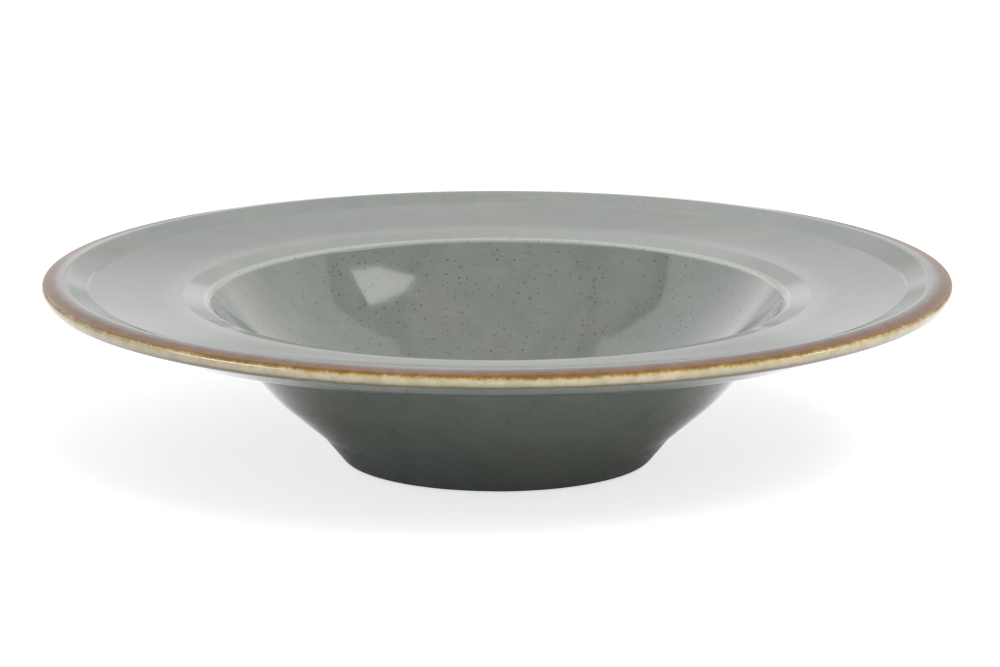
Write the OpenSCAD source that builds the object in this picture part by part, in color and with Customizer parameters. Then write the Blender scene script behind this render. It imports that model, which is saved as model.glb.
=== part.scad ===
// Rimmed soup plate: a pressed and fired clay body under fired-on glaze coats.
// Millimetres, +Z up. The origin is on the table, at the centre of the foot ring.

/* [Plate] */
// Diameter over the glazed lip
plate_d = 260; // [230:1:310]
// Height of the lip's crest above the table, before it is rounded
plate_h = 54.05; // [52:0.05:64]

/* [Well] */
// Diameter of the well at its shoulder edge
well_d = 165; // [150:1:180]
// Height of the shoulder edge above the table
shoulder_h = 46.6; // [42:0.2:49]
// Slope of the upper well wall, from level
wall_slope = 48.9; // [44:0.1:58]
// Height above the table at which the outer wall bends
bend_h = 20.1; // [15:0.1:26]
// Radius of the wall's bend
bend_r = 46; // [40:1:140]
// Thickness of the wall at the shoulder
wall_t = 3.5; // [3:0.1:5.5]
// Thickness of the wall at its bend
bend_t = 5.2; // [3.5:0.1:6.4]
// Depth of the inner wall's bow behind a straight line, before it is rounded
bow_depth = 1.4; // [0:0.1:2]
// Radius of that bow
bow_r = 168; // [60:1:240]
// Thickness of the floor
floor_t = 4.8; // [3.5:0.1:7]
// Radius between the floor and the wall
floor_r = 26; // [12:1:32]
// Radius of the shoulder edge
shoulder_r = 2.6; // [1.2:0.1:4]

/* [Rim] */
// Thickness of the rim, from the straight line between its ends
rim_t = 6.4; // [4:0.1:7.5]
// Width of the collar, the steeper band between the shoulder edge and the rim
collar_w = 7.4; // [4:0.1:9]
// Rise of the collar
collar_rise = 1.58; // [1:0.02:2]
// Radius of the soft crease between the collar and the rim
crease_r = 4; // [2:0.5:30]
// Depth of the rim's dish below a straight line, before it is rounded
rim_dip = 0.28; // [0:0.02:1]
// Radius of that dish
dish_r = 400; // [100:10:600]
// Radius under the rim, where it leaves the wall
eave_r = 9; // [4:0.5:12]

/* [Lip] */
// Fall of the lip from its crest to its upright edge
lip_drop = 0.75; // [0.4:0.05:1.2]
// Height of the lip's upright edge, between its rounded corners
edge_h = 2.8; // [2.4:0.1:5]
// Radius of the edge's upper corner
edge_top_r = 1.1; // [0.8:0.1:2]
// Radius of the edge's lower corner
edge_low_r = 2.6; // [1.5:0.1:4]
// Width of the lip's raised bead on the rim
bead_w = 13; // [11:0.1:15]
// Width of the slope up that bead
bead_slope_w = 6.9; // [5:0.1:8]
// Height of that bead above the rim
bead_h = 2.65; // [1.5:0.05:3.4]
// Radius of the bead's crest
bead_r = 4.5; // [2:0.1:6]
// Radius at the foot of the bead
bead_foot_r = 8; // [4:0.5:14]
// Width of the underside that tapers up to the edge
taper_w = 14.7; // [8:0.1:18]
// Radius where that taper starts
taper_r = 20; // [10:1:60]

/* [Foot] */
// Diameter of the foot ring at the table
foot_d = 86.4; // [80:0.2:100]
// Width of the foot ring at the table
foot_w = 5.8; // [4:0.1:7]
// Height of the foot ring's outer side
foot_h = 8.9; // [6:0.1:9.6]
// Flare of the foot ring's outer side, from upright
foot_flare = 39.5; // [20:0.5:42]
// Taper of the foot ring's inner side, from upright
foot_taper = 30; // [10:1:40]
// Radius of the foot ring's outer edge at the table
foot_out_r = 5; // [1.5:0.1:6]
// Radius of the foot ring's inner edge at the table
foot_in_r = 1.5; // [0.8:0.1:2]
// Radius between the foot ring and the wall
foot_blend_r = 9; // [3:0.5:12]
// Height of the base above the table, inside the foot ring
base_h = 4.2; // [3:0.1:5.5]
// Radius between the base and the foot ring
base_r = 2.5; // [1:0.1:4]

/* [Glaze] */
// Thickness of the glaze coats
glaze_t = 0.4; // [0.2:0.05:0.6]
// Height above the table at which the glaze is wiped off the foot ring
dry_h = 0.6; // [0.5:0.05:0.9]
// Width of the cream edge above the middle of the lip's edge
cream_up_w = 0.95; // [0.1:0.05:1.2]
// Width of the cream edge below the middle of the lip's edge
cream_down_w = 1.15; // [0.8:0.05:4]
// Width of the brown band above the cream
brown_band_w = 2.55; // [1:0.05:3.2]
// Width of the brown line below the cream
brown_line_w = 0.55; // [0.3:0.05:1.2]

/* [Hidden] */

// Largest turn, in degrees, between two neighbouring points of an arc
arc_step = 5;
// Shortest piece of outline that a cut through a coat leaves
least_run = 0.001;
// Share of a side that the fillets at its two ends may use up
side_share = 0.999;

// Directions in the section, whose points are [radius, height]
function unit(v) = v / norm(v);
function left_of(v) = [-v[1], v[0]];
function right_of(v) = [v[1], -v[0]];
function turned(v, a) = [v[0] * cos(a) - v[1] * sin(a), v[0] * sin(a) + v[1] * cos(a)];
function turn_angle(u, v) = atan2(u[0] * v[1] - u[1] * v[0], u * v);
function heading(a) = [cos(a), sin(a)];

// Point where a line through p along u meets a line through q along v
function meeting(p, u, q, v) =
    let (d = q - p)
    p + u * (d[0] * v[1] - d[1] * v[0]) / (u[0] * v[1] - u[1] * v[0]);

// Clay sizes at the lip: the coats bring them up to the stated sizes
lip_edge = plate_d / 2 - glaze_t;
lip_top = plate_h - glaze_t;
edge_top = lip_top - lip_drop;
edge_low = edge_top - edge_h;
edge_middle = (edge_top + edge_low) / 2;

// Top of the rim, from the shoulder edge out to the foot of the bead
shoulder = [well_d / 2, shoulder_h];
crease = shoulder + [collar_w, collar_rise];
bead_foot = [lip_edge - bead_w, lip_top - bead_h];
rim_way = unit(bead_foot - crease);
dish = (crease + bead_foot) / 2 + right_of(rim_way) * rim_dip;
bead_crest = [bead_foot[0] + bead_slope_w, lip_top];

// Underside of the rim, parallel to its top
under_start = crease + right_of(rim_way) * rim_t;
taper = meeting(under_start, rim_way, [lip_edge - taper_w, 0], heading(90));

// Outer wall: its upper part is parallel to the inner wall
wall_way = heading(wall_slope);
wall_start = shoulder + right_of(wall_way) * wall_t;
eave = meeting(wall_start, wall_way, under_start, rim_way);
bend = meeting(wall_start, wall_way, [0, bend_h], heading(0));
foot_top = [foot_d / 2 + foot_h * tan(foot_flare), foot_h];
low_wall_way = unit(bend - foot_top);

// Inside of the well, one wall thickness from the outside
inner_bend = bend + left_of(unit(wall_way + low_wall_way)) * bend_t;
wall_bow = (shoulder + inner_bend) / 2 + right_of(unit(shoulder - inner_bend)) * bow_depth;
floor_h = base_h + floor_t;
floor_edge = meeting(inner_bend, low_wall_way, [0, floor_h], heading(0));

// Corners of the clay's section, from the middle of the base, round the lip, to the middle of the floor.
// Each is [point, fillet radius].
foot_inner = foot_d / 2 - foot_w;
corners = [
    [[0, base_h], 0],
    [[foot_inner - base_h * tan(foot_taper), base_h], base_r],
    [[foot_inner, 0], foot_in_r],
    [[foot_d / 2, 0], foot_out_r],
    [foot_top, foot_blend_r],
    [bend, bend_r],
    [eave, eave_r],
    [taper, taper_r],
    [[lip_edge, edge_low], edge_low_r],
    [[lip_edge, edge_top], edge_top_r],
    [bead_crest, bead_r],
    [bead_foot, bead_foot_r],
    [dish, dish_r],
    [crease, crease_r],
    [shoulder, shoulder_r],
    [wall_bow, bow_r],
    [inner_bend, bend_r - bend_t],
    [floor_edge, floor_r],
    [[0, floor_h], 0]
];
last_corner = len(corners) - 1;

// Sides between the corners, and the turn from each side to the next
sides = [for (i = [1:last_corner]) corners[i][0] - corners[i - 1][0]];
turns = [
    for (i = [0:last_corner])
        i == 0 || i == last_corner ? 0 : turn_angle(sides[i - 1], sides[i])
];

// Length of side that each fillet uses up, and how far it shrinks where its sides are too short
runs = [for (i = [0:last_corner]) corners[i][1] * tan(abs(turns[i]) / 2)];
function side_room(i) = side_share * norm(sides[i]) / (runs[i] + runs[i + 1]);
function shrink(i) = min(1, side_room(i - 1), side_room(i));

// Points of a skin are [radius, height, outward normal]
function skin_point(p, n) = [p[0], p[1], n[0], n[1]];
function skin_end(i, side) = skin_point(corners[i][0], right_of(unit(sides[side])));
function fillet(i) =
    let (
        way = unit(sides[i - 1]),
        r = corners[i][1] * shrink(i),
        bulge = sign(turns[i]),
        centre = corners[i][0] - way * runs[i] * shrink(i) + left_of(way) * bulge * r,
        steps = max(2, ceil(abs(turns[i]) / arc_step))
    )
    [
        for (k = [0:steps])
            let (n = right_of(turned(way, turns[i] * k / steps)))
            skin_point(centre + n * bulge * r, n)
    ];
skin = concat(
    [skin_end(0, 0)],
    [for (i = [1:last_corner - 1]) if (abs(turns[i]) > 0) each fillet(i)],
    [skin_end(last_corner, last_corner - 1)]
);

// Distance along the skin from the middle of the base
function point_of(s) = [s[0], s[1]];
function raised(s, t) = point_of(s) + t * [s[2], s[3]];
function skin_step(i) = norm(point_of(skin[i + 1]) - point_of(skin[i]));
stations = [
    for (i = 0, s = 0; i < len(skin); s = s + (i < len(skin) - 1 ? skin_step(i) : 0), i = i + 1) s
];
skin_length = stations[len(skin) - 1];

// Stations at which the skin passes a height
function crossings(h) = [
    for (i = [0:len(skin) - 2])
        let (a = skin[i][1] - h, b = skin[i + 1][1] - h)
        if (a * b < 0) stations[i] + skin_step(i) * a / (a - b)
];
dry_inside = crossings(dry_h)[0];
dry_outside = crossings(dry_h)[1];
widest = crossings(edge_middle)[0];

// Edges of the coats on the lip
cream_low = widest - cream_down_w;
cream_high = widest + cream_up_w;
line_low = cream_low - brown_line_w;
band_high = cream_high + brown_band_w;

// Stretch of the skin between two stations
function skin_at(s) =
    let (
        i = max([for (k = [0:len(skin) - 2]) if (stations[k] <= s) k]),
        share = (s - stations[i]) / (stations[i + 1] - stations[i])
    )
    skin[i] + (skin[i + 1] - skin[i]) * share;
function between(from, to) = concat(
    [skin_at(from)],
    [
        for (i = [0:len(skin) - 1])
            if (stations[i] > from + least_run && stations[i] < to - least_run) skin[i]
    ],
    [skin_at(to)]
);
function backwards(list) = [for (i = [len(list) - 1:-1:0]) list[i]];

module turned_section(points) {
    rotate_extrude($fn = 180)
        polygon(points);
}

// A coat of glaze on the clay, from one station of the skin to another
module coat(from, to) {
    stretch = between(from, to);
    inside = [for (s = stretch) point_of(s)];
    outside = [for (s = stretch) raised(s, glaze_t)];
    turned_section(concat(inside, backwards(outside)));
}

// Pressed body with its floor, wall, shoulder, collar, rim, rolled lip and foot ring
module clay_body() {
    color("antiquewhite")
        turned_section([for (s = skin) point_of(s)]);
}

// Grey glaze over the top of the rim and the well
module upper_glaze() {
    color([0.66, 0.67, 0.64])
        coat(band_high, skin_length);
}

// Grey glaze under the rim and down the wall to the dry foot
module under_glaze() {
    color([0.55, 0.56, 0.53])
        coat(dry_outside, line_low);
}

// Grey glaze on the base, inside the foot ring
module base_glaze() {
    color([0.55, 0.56, 0.53])
        coat(0, dry_inside);
}

// Cream glaze on the outside of the lip
module cream_edge() {
    color([0.83, 0.77, 0.61])
        coat(cream_low, cream_high);
}

// Brown oxide on the lip, between the cream and the upper glaze
module brown_band() {
    color([0.55, 0.43, 0.29])
        coat(cream_high, band_high);
}

// Thin brown line on the lip, between the cream and the under glaze
module brown_line() {
    color([0.5, 0.44, 0.35])
        coat(line_low, cream_low);
}

clay_body();
upper_glaze();
under_glaze();
base_glaze();
cream_edge();
brown_band();
brown_line();
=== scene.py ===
import bpy
import math
from mathutils import Matrix, Vector
from mathutils import noise as steadyNoise


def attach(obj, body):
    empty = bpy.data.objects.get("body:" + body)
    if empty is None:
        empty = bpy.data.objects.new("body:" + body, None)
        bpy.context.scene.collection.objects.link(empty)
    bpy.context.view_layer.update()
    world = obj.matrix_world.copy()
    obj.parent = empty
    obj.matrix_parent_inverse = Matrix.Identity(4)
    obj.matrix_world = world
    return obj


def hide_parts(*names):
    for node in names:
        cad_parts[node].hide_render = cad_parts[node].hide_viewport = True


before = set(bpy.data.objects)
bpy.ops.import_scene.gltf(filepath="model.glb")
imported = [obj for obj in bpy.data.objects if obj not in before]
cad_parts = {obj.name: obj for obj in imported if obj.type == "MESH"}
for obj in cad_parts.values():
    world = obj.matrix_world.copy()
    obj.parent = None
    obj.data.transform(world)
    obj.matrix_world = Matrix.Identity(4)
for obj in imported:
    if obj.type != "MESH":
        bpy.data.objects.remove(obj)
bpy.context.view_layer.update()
scene = bpy.context.scene
print("frame loaded:", sorted(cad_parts))

# the fired clay's section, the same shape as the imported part, in metres and degrees
clay = {
    "plateRadius": 0.130,
    "plateHeight": 0.05405,
    "wellRadius": 0.0825,
    "shoulderHeight": 0.0466,
    "wallSlope": 48.9,
    "bendHeight": 0.0201,
    "bendRound": 0.046,
    "wallThick": 0.0035,
    "bendThick": 0.0052,
    "bowDepth": 0.0014,
    "bowRound": 0.168,
    "floorThick": 0.0048,
    "floorRound": 0.026,
    "shoulderRound": 0.0026,
    "rimThick": 0.0064,
    "collarWidth": 0.0074,
    "collarRise": 0.00158,
    "creaseRound": 0.004,
    "rimDip": 0.00028,
    "dishRound": 0.4,
    "eaveRound": 0.009,
    "lipDrop": 0.00075,
    "edgeHeight": 0.0028,
    "edgeTopRound": 0.0011,
    "edgeLowRound": 0.0026,
    "beadWidth": 0.013,
    "beadSlopeWidth": 0.0069,
    "beadHeight": 0.00265,
    "beadRound": 0.0045,
    "beadFootRound": 0.008,
    "taperWidth": 0.0147,
    "taperRound": 0.02,
    "footRadius": 0.0432,
    "footWidth": 0.0058,
    "footHeight": 0.0089,
    "footFlare": 39.5,
    "footTaper": 30,
    "footOutRound": 0.005,
    "footInRound": 0.0015,
    "footBlend": 0.009,
    "baseHeight": 0.0042,
    "baseRound": 0.0025,
}
glaze = {
    "thick": 0.0004,
    "dryHeight": 0.0006,
    "rolledEdge": 0.0009,
    "rolledStart": 0.02,
    "rolledLeast": 0.1,
    "rolledRows": (0.03, 0.1, 0.25, 0.5, 0.75),
}
turning = {
    "columns": 256,
    "arcStep": math.radians(5),
    "longestRow": 0.004,
    "closestRow": 1e-5,
    "sideShare": 0.999,
    "onAxis": 1e-7,
}


def heading(degrees):
    return Vector((math.cos(math.radians(degrees)), math.sin(math.radians(degrees))))


def leftOf(way):
    return Vector((-way.y, way.x))


def rightOf(way):
    return Vector((way.y, -way.x))


def meeting(p, u, q, v):  # where a line through p along u meets a line through q along v
    gap = q - p
    return p + u * ((gap.x * v.y - gap.y * v.x) / (u.x * v.y - u.y * v.x))


# [point, fillet radius] from the middle of the base, round the lip, to the middle of the floor
def clayCorners():
    c = clay
    lipEdge = c["plateRadius"] - glaze["thick"]
    lipTop = c["plateHeight"] - glaze["thick"]
    edgeTop = lipTop - c["lipDrop"]
    lipLow = edgeTop - c["edgeHeight"]
    shoulder = Vector((c["wellRadius"], c["shoulderHeight"]))
    crease = shoulder + Vector((c["collarWidth"], c["collarRise"]))
    beadFoot = Vector((lipEdge - c["beadWidth"], lipTop - c["beadHeight"]))
    rimWay = (beadFoot - crease).normalized()
    dish = (crease + beadFoot) / 2 + rightOf(rimWay) * c["rimDip"]
    beadCrest = Vector((beadFoot.x + c["beadSlopeWidth"], lipTop))
    underStart = crease + rightOf(rimWay) * c["rimThick"]
    taper = meeting(underStart, rimWay, Vector((lipEdge - c["taperWidth"], 0)), heading(90))
    wallWay = heading(c["wallSlope"])
    wallStart = shoulder + rightOf(wallWay) * c["wallThick"]
    eave = meeting(wallStart, wallWay, underStart, rimWay)
    bend = meeting(wallStart, wallWay, Vector((0, c["bendHeight"])), heading(0))
    flare = c["footHeight"] * math.tan(math.radians(c["footFlare"]))
    footTop = Vector((c["footRadius"] + flare, c["footHeight"]))
    lowWallWay = (bend - footTop).normalized()
    innerBend = bend + leftOf((wallWay + lowWallWay).normalized()) * c["bendThick"]
    wallBow = (shoulder + innerBend) / 2 + rightOf((shoulder - innerBend).normalized()) * c["bowDepth"]
    floorHeight = c["baseHeight"] + c["floorThick"]
    floorEdge = meeting(innerBend, lowWallWay, Vector((0, floorHeight)), heading(0))
    footInner = c["footRadius"] - c["footWidth"]
    baseEdge = footInner - c["baseHeight"] * math.tan(math.radians(c["footTaper"]))
    return [
        [Vector((0, c["baseHeight"])), 0],
        [Vector((baseEdge, c["baseHeight"])), c["baseRound"]],
        [Vector((footInner, 0)), c["footInRound"]],
        [Vector((c["footRadius"], 0)), c["footOutRound"]],
        [footTop, c["footBlend"]],
        [bend, c["bendRound"]],
        [eave, c["eaveRound"]],
        [taper, c["taperRound"]],
        [Vector((lipEdge, lipLow)), c["edgeLowRound"]],
        [Vector((lipEdge, edgeTop)), c["edgeTopRound"]],
        [beadCrest, c["beadRound"]],
        [beadFoot, c["beadFootRound"]],
        [dish, c["dishRound"]],
        [crease, c["creaseRound"]],
        [shoulder, c["shoulderRound"]],
        [wallBow, c["bowRound"]],
        [innerBend, c["bendRound"] - c["bendThick"]],
        [floorEdge, c["floorRound"]],
        [Vector((0, floorHeight)), 0],
    ], (edgeTop + lipLow) / 2


# the skin is a chain of straight runs and arcs, walked by its length
def buildSkin(corners):
    sides = [b[0] - a[0] for a, b in zip(corners, corners[1:])]
    turns = [0] + [a.angle_signed(b) * -1 for a, b in zip(sides, sides[1:])] + [0]
    runs = [corner[1] * math.tan(abs(turn) / 2) for corner, turn in zip(corners, turns)]
    rooms = [turning["sideShare"] * side.length / max(a + b, 1e-9)
             for side, a, b in zip(sides, runs, runs[1:])]
    chain = []

    def addRun(start, way, length, turn=0, radius=0):
        chain.append({"start": start, "way": way, "turn": turn, "radius": radius, "length": length})

    here = corners[0][0]
    for i in range(1, len(corners) - 1):
        way = sides[i - 1].normalized()
        shrink = min(1, rooms[i - 1], rooms[i])
        radius = corners[i][1] * shrink
        start = corners[i][0] - way * runs[i] * shrink
        addRun(here, way, (start - here).length)
        addRun(start, way, radius * abs(turns[i]), turns[i], radius)
        here = corners[i][0] + sides[i].normalized() * runs[i] * shrink
    addRun(here, sides[-1].normalized(), (corners[-1][0] - here).length)
    along = 0
    for run in chain:
        run["from"] = along
        along += run["length"]
    return chain, along


cornerNumber = {"baseEdge": 1, "footInner": 2, "footOuter": 3, "footTop": 4,
                "lipLow": 8, "edgeTop": 9, "crease": 13, "shoulder": 14}
corners, lipMiddle = clayCorners()
skin, skinLength = buildSkin(corners)


def skinAt(station):  # point and outward normal
    run = next((r for r in reversed(skin) if r["from"] <= station + 1e-12), skin[0])
    gone = min(max(station - run["from"], 0), run["length"])
    if run["radius"] == 0:
        return run["start"] + run["way"] * gone, rightOf(run["way"])
    bulge = math.copysign(1, run["turn"])
    centre = run["start"] + leftOf(run["way"]) * bulge * run["radius"]
    angle = run["turn"] * gone / run["length"]
    way = Matrix.Rotation(angle, 2) @ run["way"]
    return centre + rightOf(way) * bulge * run["radius"], rightOf(way)


def crossing(height, first, last):  # station between two others at which the skin passes a height
    above = skinAt(last)[0].y > height
    for halving in range(60):
        middle = (first + last) / 2
        if (skinAt(middle)[0].y > height) == above:
            last = middle
        else:
            first = middle
    return (first + last) / 2


def cornerAt(name):  # station at the middle of a corner's fillet
    run = skin[2 * cornerNumber[name] - 1]
    return run["from"] + run["length"] / 2


widest = crossing(lipMiddle, cornerAt("lipLow"), cornerAt("edgeTop"))
dryInside = crossing(glaze["dryHeight"], cornerAt("footInner"), cornerAt("baseEdge"))
dryOutside = crossing(glaze["dryHeight"], cornerAt("footOuter"), cornerAt("footTop"))


def rowStations(low, high):  # close rows on tight arcs, longer ones where the skin runs straight
    marks = {low, high}
    for run in skin:
        if run["length"] < 1e-9:
            continue
        byLength = math.ceil(run["length"] / turning["longestRow"])
        byTurn = math.ceil(abs(run["turn"]) / turning["arcStep"])
        rowCount = max(byLength, byTurn)
        marks.update(run["from"] + run["length"] * k / rowCount for k in range(rowCount + 1))
    rows = [low]
    for mark in sorted(marks):
        if low < mark < high and min(mark - rows[-1], high - mark) > turning["closestRow"]:
            rows.append(mark)
    return rows + [high]


print("section ready:", len(skin), "runs,", round(skinLength * 1000, 1), "mm of skin")

# edges of the coats, measured along the skin from the middle of the lip's edge, and how far each wanders
edges = {
    "lineLow": {"at": -0.0017, "wander": 0.00012, "seed": 3.1},
    "creamLow": {"at": -0.00115, "wander": 0.00012, "seed": 3.1},
    "creamHigh": {"at": 0.00095, "wander": 0.00022, "seed": 7.7},
    "bandHigh": {"at": 0.0035, "wander": 0.00020, "seed": 9.4},
    "dryInside": {"at": dryInside - widest, "wander": 0.00015, "seed": 12.6},
    "dryOutside": {"at": dryOutside - widest, "wander": 0.00015, "seed": 15.2},
    "baseMiddle": {"at": -widest, "wander": 0, "seed": 0},
    "floorMiddle": {"at": skinLength - widest, "wander": 0, "seed": 0},
}
wandering = {"slowTurns": 3.0, "quickTurns": 9.0, "quickShare": 0.45, "reach": 0.004}


def wander(edge, angle):  # shift of a coat's edge along the skin, the same all the way round and back
    around = Vector((math.cos(angle), math.sin(angle), 0))
    offset = Vector((0, 0, edge["seed"]))
    slow = steadyNoise.noise(around * wandering["slowTurns"] + offset)
    quick = steadyNoise.noise(around * wandering["quickTurns"] + offset)
    return edge["wander"] * (slow + quick * wandering["quickShare"])


# section(angle) gives a closed or axis-to-axis list of (point, normal after it, normal before it)
def turnedMesh(name, section, along):
    columns = turning["columns"]
    angles = [2 * math.pi * j / columns for j in range(columns)]
    slices = [section(a) for a in angles]
    count = len(slices[0])
    verts, index, alongs = [], [], []
    for k in range(count):
        if slices[0][k][0].x < turning["onAxis"]:
            verts.append(Vector((0, 0, slices[0][k][0].y)))
            index.append([len(verts) - 1] * columns)
            alongs.append(along[k])
            continue
        row = []
        for a, piece in zip(angles, slices):
            p = piece[k][0]
            row.append(len(verts))
            verts.append(Vector((p.x * math.cos(a), p.x * math.sin(a), p.y)))
            alongs.append(along[k])
        index.append(row)
    faces, normals = [], []
    for k in range(count):
        m = (k + 1) % count
        if max(slices[0][k][0].x, slices[0][m][0].x) < turning["onAxis"]:
            continue
        for j in range(columns):
            i = (j + 1) % columns
            ring = [(k, j), (k, i), (m, i), (m, j)]
            face, ways = [], []
            for row, column in ring:
                vertex = index[row][column]
                if vertex in face:
                    continue
                n = slices[column][row][1 if row == k else 2]
                a = angles[column]
                face.append(vertex)
                ways.append(Vector((n.x * math.cos(a), n.x * math.sin(a), n.y)))
            faces.append(face)
            normals.extend(ways)
    mesh = bpy.data.meshes.new(name)
    mesh.from_pydata(verts, [], faces)
    mesh.polygons.foreach_set("use_smooth", [True] * len(mesh.polygons))
    mesh.normals_split_custom_set(normals)
    mesh.attributes.new("along", "FLOAT", "POINT").data.foreach_set("value", alongs)
    mesh.update()
    piece = bpy.data.objects.new(name, mesh)
    scene.collection.objects.link(piece)
    return piece


def coatPiece(name, lowName, highName, rolled=None):  # a coat of glaze between two edges
    low, high = edges[lowName], edges[highName]
    rows = rowStations(widest + low["at"], widest + high["at"])
    first, last = rows[0], rows[-1]
    if rolled:
        beads = [glaze["rolledEdge"] * f for f in glaze["rolledRows"]]
        rows = sorted(rows + [first + b if rolled == "low" else last - b for b in beads])
    reach = min(wandering["reach"], last - first)

    def section(angle):
        lowShift, highShift = wander(low, angle), wander(high, angle)
        outside, inside = [], []
        for s in rows:
            shift = lowShift * max(0, 1 - (s - first) / reach) + highShift * max(0, 1 - (last - s) / reach)
            point, normal = skinAt(s + shift)
            thick, facing = glaze["thick"], normal
            if rolled:  # the wiped edge at the foot ends in a rounded bead
                edgeGap = (s - first) if rolled == "low" else (last - s)
                share = min(1, max(glaze["rolledStart"], edgeGap / glaze["rolledEdge"]))
                rise = math.sqrt(1 - (1 - share) ** 2)
                slope = thick * (1 - share) / rise / glaze["rolledEdge"] * (1 if rolled == "low" else -1)
                facing = (normal - leftOf(normal) * slope).normalized()
                thick *= glaze["rolledLeast"] + (1 - glaze["rolledLeast"]) * rise
            outside.append((point + normal * thick, facing, facing))
            inside.append((point, -normal, -normal))
        cap = [(inside[-1][0] - outside[-1][0]).normalized(),
               (outside[0][0] - inside[0][0]).normalized()]
        capWay = [rightOf(c) for c in cap]
        outside[-1] = (outside[-1][0], capWay[0], outside[-1][2])
        inside = inside[::-1]
        inside[0] = (inside[0][0], inside[0][1], capWay[0])
        inside[-1] = (inside[-1][0], capWay[1], inside[-1][2])
        outside[0] = (outside[0][0], outside[0][1], capWay[1])
        return outside + inside

    along = [s - widest for s in rows]
    return turnedMesh(name, section, along + along[::-1])


def clayPiece(name):  # the whole body, of which only the wiped foot ring shows
    rows = rowStations(0, skinLength)
    column = []
    for s in rows:
        point, normal = skinAt(s)
        column.append((point, normal, normal))
    return turnedMesh(name, lambda angle: column, [s - widest for s in rows])


pieces = {
    "clayBody": clayPiece("clayBody"),
    "baseGlaze": coatPiece("baseGlaze", "baseMiddle", "dryInside", rolled="high"),
    "underGlaze": coatPiece("underGlaze", "dryOutside", "lineLow", rolled="low"),
    "brownLine": coatPiece("brownLine", "lineLow", "creamLow"),
    "creamEdge": coatPiece("creamEdge", "creamLow", "creamHigh"),
    "brownBand": coatPiece("brownBand", "creamHigh", "bandHigh"),
    "upperGlaze": coatPiece("upperGlaze", "bandHigh", "floorMiddle"),
}
print("pieces turned:", {name: len(p.data.polygons) for name, p in pieces.items()})

nodeOf = {
    "clayBody": ("clay_body", "fired_clay"),
    "baseGlaze": ("base_glaze", "grey_glaze"),
    "underGlaze": ("under_glaze", "grey_glaze"),
    "brownLine": ("brown_line", "brown_glaze"),
    "creamEdge": ("cream_edge", "cream_glaze"),
    "brownBand": ("brown_band", "brown_glaze"),
    "upperGlaze": ("upper_glaze", "grey_glaze"),
}
for name, (node, slot) in nodeOf.items():
    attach(pieces[name], "root")
    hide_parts(node)


def tint(red, green, blue):  # a colour as a paint chart gives it, 0 to 255
    shares = [c / 255 for c in (red, green, blue)]
    return tuple(c / 12.92 if c < 0.0405 else ((c + 0.055) / 1.055) ** 2.4 for c in shares) + (1,)


def put(tree, kind, inputs=None, **settings):
    node = tree.nodes.new("ShaderNode" + kind)
    for key, value in settings.items():
        setattr(node, key, value)
    for key, value in (inputs or {}).items():
        if isinstance(value, bpy.types.NodeSocket):
            tree.links.new(value, node.inputs[key])
        else:
            node.inputs[key].default_value = value
    return node


def calc(tree, operation, *values):
    node = put(tree, "Math", dict(enumerate(values)), operation=operation)
    return node.outputs[0]


def spread(tree, value, low, high, toLow=0.0, toHigh=1.0):  # eased step from one level to another
    ends = {"Value": value, "From Min": low, "From Max": high, "To Min": toLow, "To Max": toHigh}
    return put(tree, "MapRange", ends, interpolation_type="SMOOTHSTEP").outputs["Result"]


def blend(tree, share, first, second, kind="MIX"):
    node = put(tree, "Mix", {0: share, 6: first, 7: second}, data_type="RGBA", blend_type=kind)
    return node.outputs[2]


def cloud(tree, coords, size, detail=2.0, rough=0.5):
    ends = {"Vector": coords, "Scale": 1 / size, "Detail": detail, "Roughness": rough}
    return put(tree, "TexNoise", ends).outputs["Fac"]


speckSize = {"least": 0.55, "extra": 0.9}  # shares of a speck's radius


def specks(tree, coords, spec):  # round specks of mixed size, in a share of the cells
    cells = put(tree, "TexVoronoi", {"Vector": coords, "Scale": 1 / spec["gap"]})
    luck = put(tree, "SeparateColor", {"Color": cells.outputs["Color"]})
    reach = spec["radius"] / spec["gap"]
    size = calc(tree, "MULTIPLY_ADD", luck.outputs["Green"],
                reach * speckSize["extra"], reach * speckSize["least"])
    core = calc(tree, "MULTIPLY", size, spec["core"])
    dot = spread(tree, cells.outputs["Distance"], core, size, 1.0, 0.0)
    strength = spread(tree, luck.outputs["Blue"], 0.1, 1.0, spec.get("faintest", 1.0), 1.0)
    dot = calc(tree, "MULTIPLY", dot, strength)
    return calc(tree, "MULTIPLY", dot, calc(tree, "LESS_THAN", luck.outputs["Red"], spec["share"]))


def speckled(tree, colour, dots, spec, speckColour, where=None):
    dots = calc(tree, "MULTIPLY", dots, spec["mix"])
    if where is not None:
        dots = calc(tree, "MULTIPLY", dots, where)
    return blend(tree, dots, colour, speckColour)


def ramp(tree, value, stops):
    node = put(tree, "ValToRGB", {"Fac": value})
    marks = node.color_ramp.elements
    while len(marks) < len(stops):
        marks.new(0.5)
    for mark, (at, colour) in zip(marks, stops):
        mark.position = at
        mark.color = colour
    return node.outputs["Color"]


def startMaterial(name):
    material = bpy.data.materials.new(name)
    material.use_nodes = True
    tree = material.node_tree
    tree.nodes.clear()
    coords = put(tree, "TexCoord").outputs["Object"]
    return material, tree, coords


def closeMaterial(tree, colour, rough, normal, shine=0.5):
    ends = {"Base Color": colour, "Roughness": rough, "Normal": normal, "Specular IOR Level": shine}
    skinShader = put(tree, "BsdfPrincipled", ends)
    out = put(tree, "OutputMaterial")
    tree.links.new(skinShader.outputs[0], out.inputs["Surface"])


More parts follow.
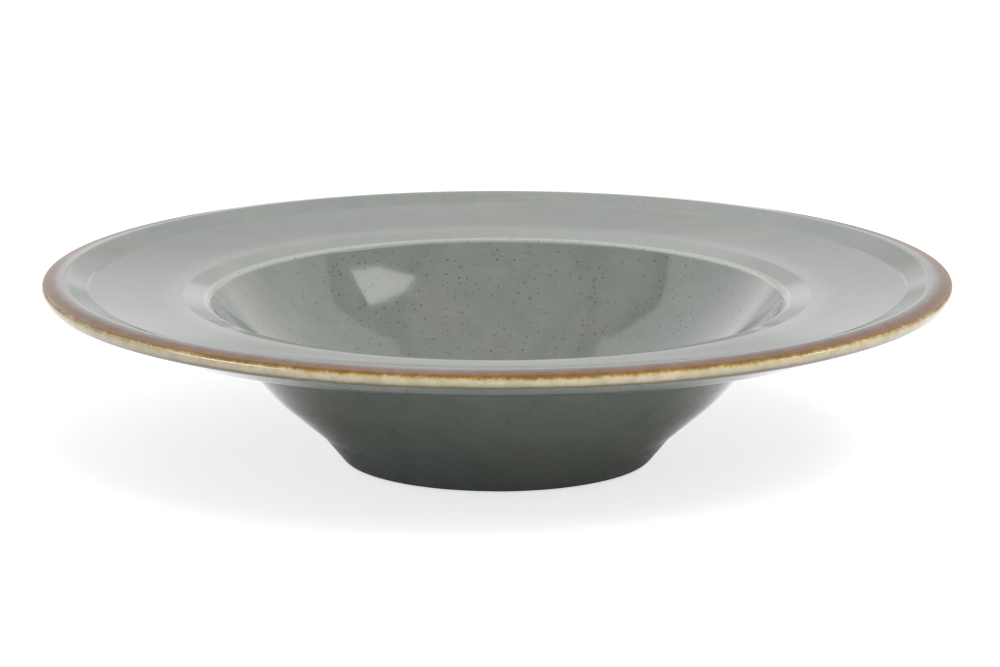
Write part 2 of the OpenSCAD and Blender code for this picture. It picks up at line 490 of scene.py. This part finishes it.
# stoneware glaze: one recipe, whose colour turns from grey through brown to cream round the lip
stoneware = {
    "grey": tint(116, 122, 115),
    "greyCool": tint(113, 121, 115),
    "greyWarm": tint(119, 122, 113),
    # a paler grey, painted as a highlight on the shoulder and as reflected light under the lip, and also
    # laid across the collar
    "paleGrey": tint(166, 170, 163),
    "broadCloud": 0.034,
    "smallCloud": 0.009,
    "shade": (0.93, 1.07),
    # painted highlight along the well's shoulder
    "shoulderHighlight": {"outward": 0.0005, "core": 0.0003, "reach": 0.0015, "share": 0.9},
    # paler across the collar and a little way out past the crease
    "collarPale": {"reach": 0.008, "full": 0.001, "share": 0.34, "creaseOut": 0.0005, "creaseIn": 0.0015,
                    "onCollar": 0.75, "wellFade": 0.001},
    # painted reflected light in a band under the lip
    "underLipLight": {"from": -0.0125, "full": -0.0095, "fade": -0.0022, "to": -0.0016, "share": 0.85},
    "speckDark": tint(66, 58, 44),
    "speckRust": tint(100, 84, 62),
    "fine": {"gap": 0.0012, "radius": 0.0004, "core": 0.35, "share": 0.5, "faintest": 0.15, "mix": 0.85},
    "rust": {"gap": 0.0019, "radius": 0.0006, "core": 0.3, "share": 0.42, "faintest": 0.2, "mix": 0.8},
    "blot": {"gap": 0.016, "radius": 0.0011, "core": 0.1, "share": 0.5, "mix": 0.25},
    "specksOnRim": 0.4,
    "wellEdge": 0.004,
    "rough": 0.07,
    "ripple": {"depth": 0.0000022, "size": 0.0016},
    "swell": {"depth": 0.00006, "size": 0.022},
}
# zones and reaches in millimetres along the skin from the middle of the lip's edge, sizes in metres
lipZones = {
    "span": 8.0,
    "raggedBroad": {"size": 0.006, "reach": 0.8},
    "raggedFine": {"size": 0.0012, "reach": 1.0},
    "raggedBelow": {"from": -0.8, "to": 0.5, "share": 0.35},
    "patch": {"size": 0.004, "shade": (0.88, 1.1), "blue": 1.6},
    "dry": {"from": 0.8, "full": 1.5, "fade": 3.6, "to": 6.7, "shine": 0.08},
    "stops": [
        (-2.5, None),
        (-2.0, tint(102, 97, 80)),
        (-1.6, tint(102, 93, 70)),
        (-1.2, tint(134, 119, 90)),
        (-0.9, tint(172, 156, 122)),
        (-0.6, tint(188, 177, 148)),
        (0.0, tint(194, 186, 160)),
        (0.45, tint(200, 184, 140)),
        (0.75, tint(190, 166, 110)),
        (1.05, tint(150, 117, 62)),
        (1.4, tint(131, 97, 50)),
        (2.1, tint(122, 87, 49)),
        (2.9, tint(120, 88, 64)),
        (3.7, tint(119, 90, 77)),
        (4.4, tint(120, 93, 85)),
        (5.2, tint(113, 92, 88)),
        (6.0, tint(108, 97, 93)),
        (6.7, None),
    ],
    "pits": {"gap": 0.0125, "radius": 0.0006, "core": 0.35, "share": 0.55, "mix": 0.85, "depth": 0.00025},
    "pitColour": tint(70, 46, 28),
    "freckles": {"gap": 0.0013, "radius": 0.00022, "core": 0.2, "share": 0.5, "mix": 0.55},
    "freckleColour": tint(86, 62, 38),
}


def stonewareMaterial():
    s, z = stoneware, lipZones
    material, tree, coords = startMaterial("stonewareGlaze")
    along = put(tree, "Attribute", attribute_name="along", attribute_type="GEOMETRY").outputs["Fac"]
    shoulder, crease = cornerAt("shoulder") - widest, cornerAt("crease") - widest
    broad = cloud(tree, coords, s["broadCloud"], 3.0)
    small = cloud(tree, coords, s["smallCloud"], 4.0, 0.6)
    colour = blend(tree, spread(tree, broad, 0.35, 0.65), s["greyCool"], s["greyWarm"])
    colour = blend(tree, 0.5, colour, s["grey"])
    shade = spread(tree, small, 0.25, 0.75, *s["shade"])
    shade = put(tree, "CombineColor", {"Red": shade, "Green": shade, "Blue": shade}).outputs[0]
    colour = blend(tree, 1.0, colour, shade, "MULTIPLY")

    # paler grey painted in three places: a painted highlight on the well's shoulder, a paler band across
    # the collar, and painted reflected light under the lip
    # painted highlight: a thin pale line along the shoulder's round
    paleBand = s["shoulderHighlight"]
    shoulderGap = calc(tree, "ABSOLUTE", calc(tree, "SUBTRACT", along, shoulder - paleBand["outward"]))
    onShoulderHighlight = spread(tree, shoulderGap, paleBand["core"], paleBand["reach"], paleBand["share"], 0.0)
    colour = blend(tree, onShoulderHighlight, colour, s["paleGrey"])
    # paler grey from the well's shoulder out to a few millimetres past the crease
    paleBand = s["collarPale"]
    onRim = spread(tree, along, crease - paleBand["reach"], crease - paleBand["full"], 0.0, paleBand["share"])
    outOfWell = spread(tree, along, shoulder, shoulder + paleBand["wellFade"], 1.0, 0.0)
    pastCrease = spread(tree, along, crease - paleBand["creaseOut"], crease + paleBand["creaseIn"],
                        1.0, paleBand["onCollar"])
    onCollar = calc(tree, "MULTIPLY", calc(tree, "MULTIPLY", onRim, outOfWell), pastCrease)
    colour = blend(tree, onCollar, colour, s["paleGrey"])
    # painted reflected light: a pale band under the lip
    paleBand = s["underLipLight"]
    underLipLight = calc(tree, "MULTIPLY", spread(tree, along, paleBand["from"], paleBand["full"]),
                    spread(tree, along, paleBand["fade"], paleBand["to"], paleBand["share"], 0.0))
    colour = blend(tree, underLipLight, colour, s["paleGrey"])

    # colour zones round the lip, more ragged above its edge than below
    place = calc(tree, "MULTIPLY", along, 1000.0)
    below = z["raggedBelow"]
    raggedShare = spread(tree, place, below["from"], below["to"], below["share"], 1.0)
    for ragged in (z["raggedBroad"], z["raggedFine"]):
        shift = calc(tree, "SUBTRACT", cloud(tree, coords, ragged["size"], 2.0), 0.5)
        shift = calc(tree, "MULTIPLY", shift, raggedShare)
        place = calc(tree, "MULTIPLY_ADD", shift, ragged["reach"], place)
    share = calc(tree, "MULTIPLY_ADD", place, 0.5 / z["span"], 0.5)
    stops = [((mm / z["span"] + 1) / 2, c or s["grey"]) for mm, c in z["stops"]]
    lip = ramp(tree, share, stops)
    inLip = calc(tree, "MULTIPLY", spread(tree, share, stops[0][0], stops[1][0]),
                 spread(tree, share, stops[-2][0], stops[-1][0], 1.0, 0.0))
    patch = spread(tree, cloud(tree, coords, z["patch"]["size"], 3.0), 0.3, 0.7, *z["patch"]["shade"])
    patchBlue = calc(tree, "POWER", patch, z["patch"]["blue"])
    patchTint = put(tree, "CombineColor", {"Red": patch, "Green": patch, "Blue": patchBlue}).outputs[0]
    lip = blend(tree, 1.0, lip, patchTint, "MULTIPLY")
    lip = speckled(tree, lip, specks(tree, coords, z["freckles"]), z["freckles"], z["freckleColour"])
    pits = specks(tree, coords, z["pits"])
    lip = speckled(tree, lip, pits, z["pits"], z["pitColour"])

    # iron specks in the grey, fainter on the rim than in the well
    inWell = spread(tree, along, shoulder - s["wellEdge"], shoulder + s["wellEdge"], s["specksOnRim"], 1.0)
    colour = speckled(tree, colour, specks(tree, coords, s["blot"]), s["blot"], s["speckRust"])
    colour = speckled(tree, colour, specks(tree, coords, s["rust"]), s["rust"], s["speckRust"], inWell)
    colour = speckled(tree, colour, specks(tree, coords, s["fine"]), s["fine"], s["speckDark"], inWell)
    colour = blend(tree, inLip, colour, lip)

    # slow swell and fine ripple of the glaze, and hollows at the pits
    swell = put(tree, "Bump", {"Height": cloud(tree, coords, s["swell"]["size"], 1.0),
                               "Distance": s["swell"]["depth"], "Strength": 1.0})
    ripple = put(tree, "Bump", {"Height": cloud(tree, coords, s["ripple"]["size"], 2.0),
                                "Distance": s["ripple"]["depth"], "Strength": 1.0,
                                "Normal": swell.outputs[0]})
    hollow = put(tree, "Bump", {"Height": calc(tree, "MULTIPLY", pits, inLip),
                                "Distance": z["pits"]["depth"], "Strength": 1.0,
                                "Normal": ripple.outputs[0]}, invert=True)
    rough = spread(tree, small, 0.2, 0.8, s["rough"] * 0.8, s["rough"] * 1.3)
    dry = calc(tree, "MULTIPLY", spread(tree, place, z["dry"]["from"], z["dry"]["full"]),
               spread(tree, place, z["dry"]["fade"], z["dry"]["to"], 1.0, 0.0))
    shine = spread(tree, dry, 0.0, 1.0, 0.5, z["dry"]["shine"])
    closeMaterial(tree, colour, rough, hollow.outputs[0], shine)
    return material


bareClay = {
    "pale": tint(206, 194, 172),
    "toasted": tint(182, 160, 130),
    "grit": {"gap": 0.0013, "radius": 0.00018, "core": 0.3, "share": 0.5, "mix": 0.7},
    "gritColour": tint(92, 72, 54),
    "toastSize": 0.007,
    "grain": {"depth": 0.00006, "size": 0.0005},
    "rough": (0.75, 0.95),
}


def clayMaterial():
    c = bareClay
    material, tree, coords = startMaterial("bareClay")
    toast = spread(tree, cloud(tree, coords, c["toastSize"], 4.0), 0.3, 0.7)
    colour = blend(tree, toast, c["pale"], c["toasted"])
    colour = speckled(tree, colour, specks(tree, coords, c["grit"]), c["grit"], c["gritColour"])
    grain = cloud(tree, coords, c["grain"]["size"], 3.0, 0.7)
    bump = put(tree, "Bump", {"Height": grain, "Distance": c["grain"]["depth"], "Strength": 1.0})
    closeMaterial(tree, colour, spread(tree, grain, 0.2, 0.8, *c["rough"]), bump.outputs[0])
    return material


glazeMaterial, clayLook = stonewareMaterial(), clayMaterial()
for name, piece in pieces.items():
    piece.data.materials.append(clayLook if name == "clayBody" else glazeMaterial)
print("materials made")

# camera at the photograph's angle
view = {"from": (0.000790, -1.464931, 0.358635), "to": (0.000790, 0, 0.036182),
        "lens": 188.376, "sensor": 36}
cameraData = bpy.data.cameras.new("photoCamera")
cameraData.lens, cameraData.sensor_width = view["lens"], view["sensor"]
camera = bpy.data.objects.new("photoCamera", cameraData)
camera.location = view["from"]
camera.rotation_euler = (Vector(view["to"]) - Vector(view["from"])).to_track_quat("-Z", "Y").to_euler()
scene.collection.objects.link(camera)
scene.camera = camera

# studio: azimuth 0 is behind the plate, 90 is to its right, and level is the brightness that a mirror shows
target = Vector((0, 0, 0.045))


def toward(azimuth, elevation):
    a, e = math.radians(azimuth), math.radians(elevation)
    return Vector((math.sin(a) * math.cos(e), math.cos(a) * math.cos(e), math.sin(e)))


def ease(value, low, high):
    share = min(1, max(0, (value - low) / (high - low)))
    return share * share * (3 - 2 * share)


def between(value, low, high, rise, fall):  # eased in above low and out below high
    return ease(value, low, low + rise) * ease(value, high, high - fall)


# a curved white scrim for the glaze to mirror: a back with wings, an upper part and a cap over the plate
scrim = {
    "radius": 2.5,
    "backSide": 94,
    "backTop": 47.3,
    "upperSide": 62.5,
    "upperTop": 66,
    "climb": [(0, 0.68), (3, 0.78), (5, 1.0), (8, 1.1), (11, 1.15), (14, 1.12), (17, 1.07), (20, 1.05),
              (23, 1.08), (27, 1.3), (30, 1.45), (34.5, 1.5), (40, 1.95), (51, 2.2), (66, 1.4), (90, 1.4)],
    "panel": {"near": 0.9, "far": 2.0, "low": 8, "full": 13, "edge": 15.6, "crisp": 0.2,
              "fade": 18.6, "top": 23, "below": 0.24, "above": -0.12},
    "dip": {"near": 3.1, "far": 3.8, "low": 3, "high": 8, "rise": 1, "fall": 1.3, "share": -0.22},
    "flanks": {"near": 3.6, "far": 4.4, "low": 7, "high": 10, "share": 0.1},
    "lowLean": {"share": 0.08, "low": 14, "high": 24, "soft": 3,
                "near": 1.0, "far": 6, "rise": 1.2, "fall": 1.5},
    "highLean": {"share": 0.08, "low": 22, "high": 26, "near": 6, "far": 8, "fade": 20, "end": 60},
    "leanWidth": 1.5,
    "wings": {"near": 13, "far": 24, "low": 8, "high": 16, "left": 2.35, "right": 1.95},
}


def scrimLevel(azimuth, elevation):
    s, aside = scrim, abs(azimuth)
    level = next(low + (high - low) * (elevation - a) / (b - a)
                 for (a, low), (b, high) in zip(s["climb"], s["climb"][1:]) if elevation <= b)
    part = s["panel"]  # brighter low in the middle, with a sharp top edge
    over = ease(elevation, part["edge"] - part["crisp"], part["edge"] + part["crisp"])
    under = ease(elevation, part["low"], part["full"]) * (1 - over)
    over *= ease(elevation, part["top"], part["fade"])
    level *= 1 + (part["below"] * under + part["above"] * over) * ease(aside, part["far"], part["near"])
    part = s["dip"]  # dimmer under that
    tall = between(elevation, part["low"], part["high"], part["rise"], part["fall"])
    level *= 1 + part["share"] * tall * ease(aside, part["far"], part["near"])
    part = s["flanks"]  # and brighter to both sides
    tall = ease(elevation, part["high"], part["low"])
    level *= 1 + part["share"] * tall * ease(aside, part["near"], part["far"])
    part = s["wings"]
    if elevation <= s["upperTop"] - 1:
        share = ease(aside, part["near"], part["far"]) * ease(elevation, part["low"], part["high"])
        level += (part["left" if azimuth < 0 else "right"] - level) * share
    part = s["lowLean"]  # the right is brighter low in the middle, the left elsewhere
    lean = part["share"] * between(elevation, part["low"], part["high"], part["soft"], part["soft"])
    lean *= between(aside, part["near"], part["far"], part["rise"], part["fall"])
    part = s["highLean"]
    high = max(ease(elevation, part["low"], part["high"]), ease(aside, part["near"], part["far"]))
    lean -= part["share"] * high * ease(aside, part["end"], part["fade"])
    return level * (1 + lean * max(-1, min(1, azimuth / s["leanWidth"])))


def steps(*parts):  # marks at a closer or wider pitch: (from, to, pitch)
    marks = [start + pitch * k for start, end, pitch in parts for k in range(round((end - start) / pitch))]
    return marks + [parts[-1][1]]


def domePart(azimuths, elevations):
    verts = [target + toward(a, e) * scrim["radius"] for e in elevations for a in azimuths]
    wide = len(azimuths)
    faces = [(r * wide + k, r * wide + k + 1, (r + 1) * wide + k + 1, (r + 1) * wide + k)
             for r in range(len(elevations) - 1) for k in range(wide - 1)]
    return verts, faces, [scrimLevel(a, e) for e in elevations for a in azimuths]


# the mesh is closer where the rim mirrors the middle
back, upper = scrim["backSide"], scrim["upperSide"]
verts, faces, levels = [], [], []
for azimuths, elevations in [
    (steps((-back, -16, 2.5), (-16, -6, 1), (-6, 6, 0.3), (6, 16, 1), (16, back, 2.5)),
     steps((0.4, 15.2, 0.8), (15.2, 16.0, 0.2), (16.0, 28, 1), (28, scrim["backTop"], 2))),
    (steps((-upper, upper, 4)), steps((scrim["backTop"], scrim["upperTop"], 3))),
    (steps((-180, 180, 6)), steps((scrim["upperTop"], 89, 4))),
]:
    partVerts, partFaces, partLevels = domePart(azimuths, elevations)
    faces += [tuple(k + len(verts) for k in face) for face in partFaces]
    verts, levels = verts + partVerts, levels + partLevels


def glowSheet(name, verts, faces, levels):  # a bright surface that only the mirroring glaze sees
    mesh = bpy.data.meshes.new(name)
    mesh.from_pydata(verts, [], faces)
    mesh.attributes.new("level", "FLOAT", "POINT").data.foreach_set("value", levels)
    piece = bpy.data.objects.new(name, mesh)
    scene.collection.objects.link(piece)
    piece.visible_camera = piece.visible_diffuse = piece.visible_shadow = False
    material, tree = startMaterial(name)[:2]
    level = put(tree, "Attribute", attribute_name="level", attribute_type="GEOMETRY").outputs["Fac"]
    glow = put(tree, "Emission", {"Color": (1, 1, 1, 1), "Strength": level})
    tree.links.new(glow.outputs[0], put(tree, "OutputMaterial").inputs["Surface"])
    mesh.materials.append(material)


glowSheet("scrim", verts, faces, levels)

# cards for the glints: a window in the well, a dim one across from it and a strip for each side of the lip
cards = {
    "wellWindow": {"azimuth": 91.4, "elevation": 58.9, "distance": 1.0, "level": 5.5, "edge": 5.5,
                   "outline": [(-0.116, -0.085), (0.008, 0.008), (0.096, 0.168),
                               (0, 0.127), (-0.204, -0.006), (-0.166, -0.045)]},
    "dimWindow": {"azimuth": -88, "elevation": 56.7, "distance": 1.2, "level": 1.9, "edge": 1.0,
                  "outline": [(-0.28, -0.1), (-0.18, -0.17), (0.18, -0.17), (0.28, -0.1),
                              (0.28, 0.1), (0.18, 0.17), (-0.18, 0.17), (-0.28, 0.1)]},
    "leftStrip": {"azimuth": -114, "elevation": 10, "distance": 1.1, "level": 17, "edge": 1.0,
                  "outline": [(-0.4, -0.19), (0.4, -0.19), (0.4, 0.19), (-0.4, 0.19)]},
    "rightStrip": {"azimuth": 101, "elevation": 10, "distance": 1.1, "level": 11, "edge": 1.0,
                   "outline": [(-0.3, -0.17), (0.3, -0.17), (0.3, 0.17), (-0.3, 0.17)]},
}


def facing(azimuth, elevation):  # ways out, across and up for something that faces the plate
    out = toward(azimuth, elevation)
    across = out.cross(Vector((0, 0, 1))).normalized()
    return out, across, across.cross(out)


for name, card in cards.items():
    out, across, up = facing(card["azimuth"], card["elevation"])
    count = len(card["outline"])
    middle = tuple(sum(point[k] for point in card["outline"]) / count for k in (0, 1))
    verts = [target + out * card["distance"] + across * u + up * v for u, v in card["outline"] + [middle]]
    faces = [(k, (k + 1) % count, count) for k in range(count)]
    glowSheet(name, verts, faces, [card["edge"]] * count + [card["level"]])

# the key light, high in front, which lights the glaze but isn't mirrored
key = {"azimuth": 155, "elevation": 53, "distance": 1.1, "size": (0.9, 0.6), "level": 4.9}
lampData = bpy.data.lights.new("frontKey", "AREA")
lampData.shape = "RECTANGLE"
lampData.size, lampData.size_y = key["size"]
lampData.energy = key["level"] * math.pi * key["size"][0] * key["size"][1]
out, across, up = facing(key["azimuth"], key["elevation"])
lamp = bpy.data.objects.new("frontKey", lampData)
lamp.matrix_world = Matrix((across, up, out)).transposed().to_4x4()
lamp.location = target + out * key["distance"]
lamp.visible_camera = lamp.visible_glossy = False
scene.collection.objects.link(lamp)


def seenBy(tree, *kinds):  # 1 for rays of these kinds
    seen = put(tree, "LightPath")
    rays = seen.outputs[kinds[0]]
    for kind in kinds[1:]:
        rays = calc(tree, "MAXIMUM", rays, seen.outputs[kind])
    return rays


# an even white room, dimmer as light than it looks
room = {"ambient": 0.47}
scene.world = bpy.data.worlds.new("studioRoom")
scene.world.use_nodes = True
tree = scene.world.node_tree
tree.nodes.clear()
clearRay = seenBy(tree, "Is Camera Ray", "Is Transmission Ray", "Is Glossy Ray")
strength = calc(tree, "MULTIPLY_ADD", clearRay, 1 - room["ambient"], room["ambient"])
backdrop = put(tree, "Background", {"Color": (1, 1, 1, 1), "Strength": strength})
tree.links.new(backdrop.outputs[0], put(tree, "OutputWorld").inputs["Surface"])

# pale floor, white to the camera away from the plate's soft shadow
ground = {
    "halfSide": 8.0,
    "height": -0.0001,
    "colour": (0.9, 0.9, 0.9, 1),
    "nearGlow": 0.68,
    "nearRadius": 0.16,
    "farRadius": 0.5,
    "mirrorRadius": (0.05, 0.13),
    "mirrorMiddle": (0, -0.05, 0),
}
floorMesh = bpy.data.meshes.new("paleFloor")
side = ground["halfSide"]
floorCorners = [(x * side, y * side, ground["height"]) for x, y in ((-1, -1), (1, -1), (1, 1), (-1, 1))]
floorMesh.from_pydata(floorCorners, [], [(0, 1, 2, 3)])
floorPiece = bpy.data.objects.new("paleFloor", floorMesh)
scene.collection.objects.link(floorPiece)
material, tree, coords = startMaterial("paleFloor")
clearRay = seenBy(tree, "Is Camera Ray", "Is Transmission Ray")
away = put(tree, "VectorMath", {0: coords}, operation="LENGTH").outputs["Value"]
glow = spread(tree, away, ground["nearRadius"], ground["farRadius"], ground["nearGlow"], 1.0)
mirrorEnds = {0: coords, 1: ground["mirrorMiddle"]}
mirrorAway = put(tree, "VectorMath", mirrorEnds, operation="DISTANCE").outputs["Value"]
mirrored = spread(tree, mirrorAway, *ground["mirrorRadius"])
mirrored = calc(tree, "MULTIPLY", mirrored, seenBy(tree, "Is Glossy Ray"))
glow = calc(tree, "MULTIPLY_ADD", glow, clearRay, mirrored)
matte = put(tree, "BsdfDiffuse", {"Color": ground["colour"]})
glowShader = put(tree, "Emission", {"Color": (1, 1, 1, 1), "Strength": glow})
lit = put(tree, "AddShader", {0: matte.outputs[0], 1: glowShader.outputs[0]})
tree.links.new(lit.outputs[0], put(tree, "OutputMaterial").inputs["Surface"])
floorMesh.materials.append(material)

scene.view_settings.view_transform = "Standard"
print("studio set")
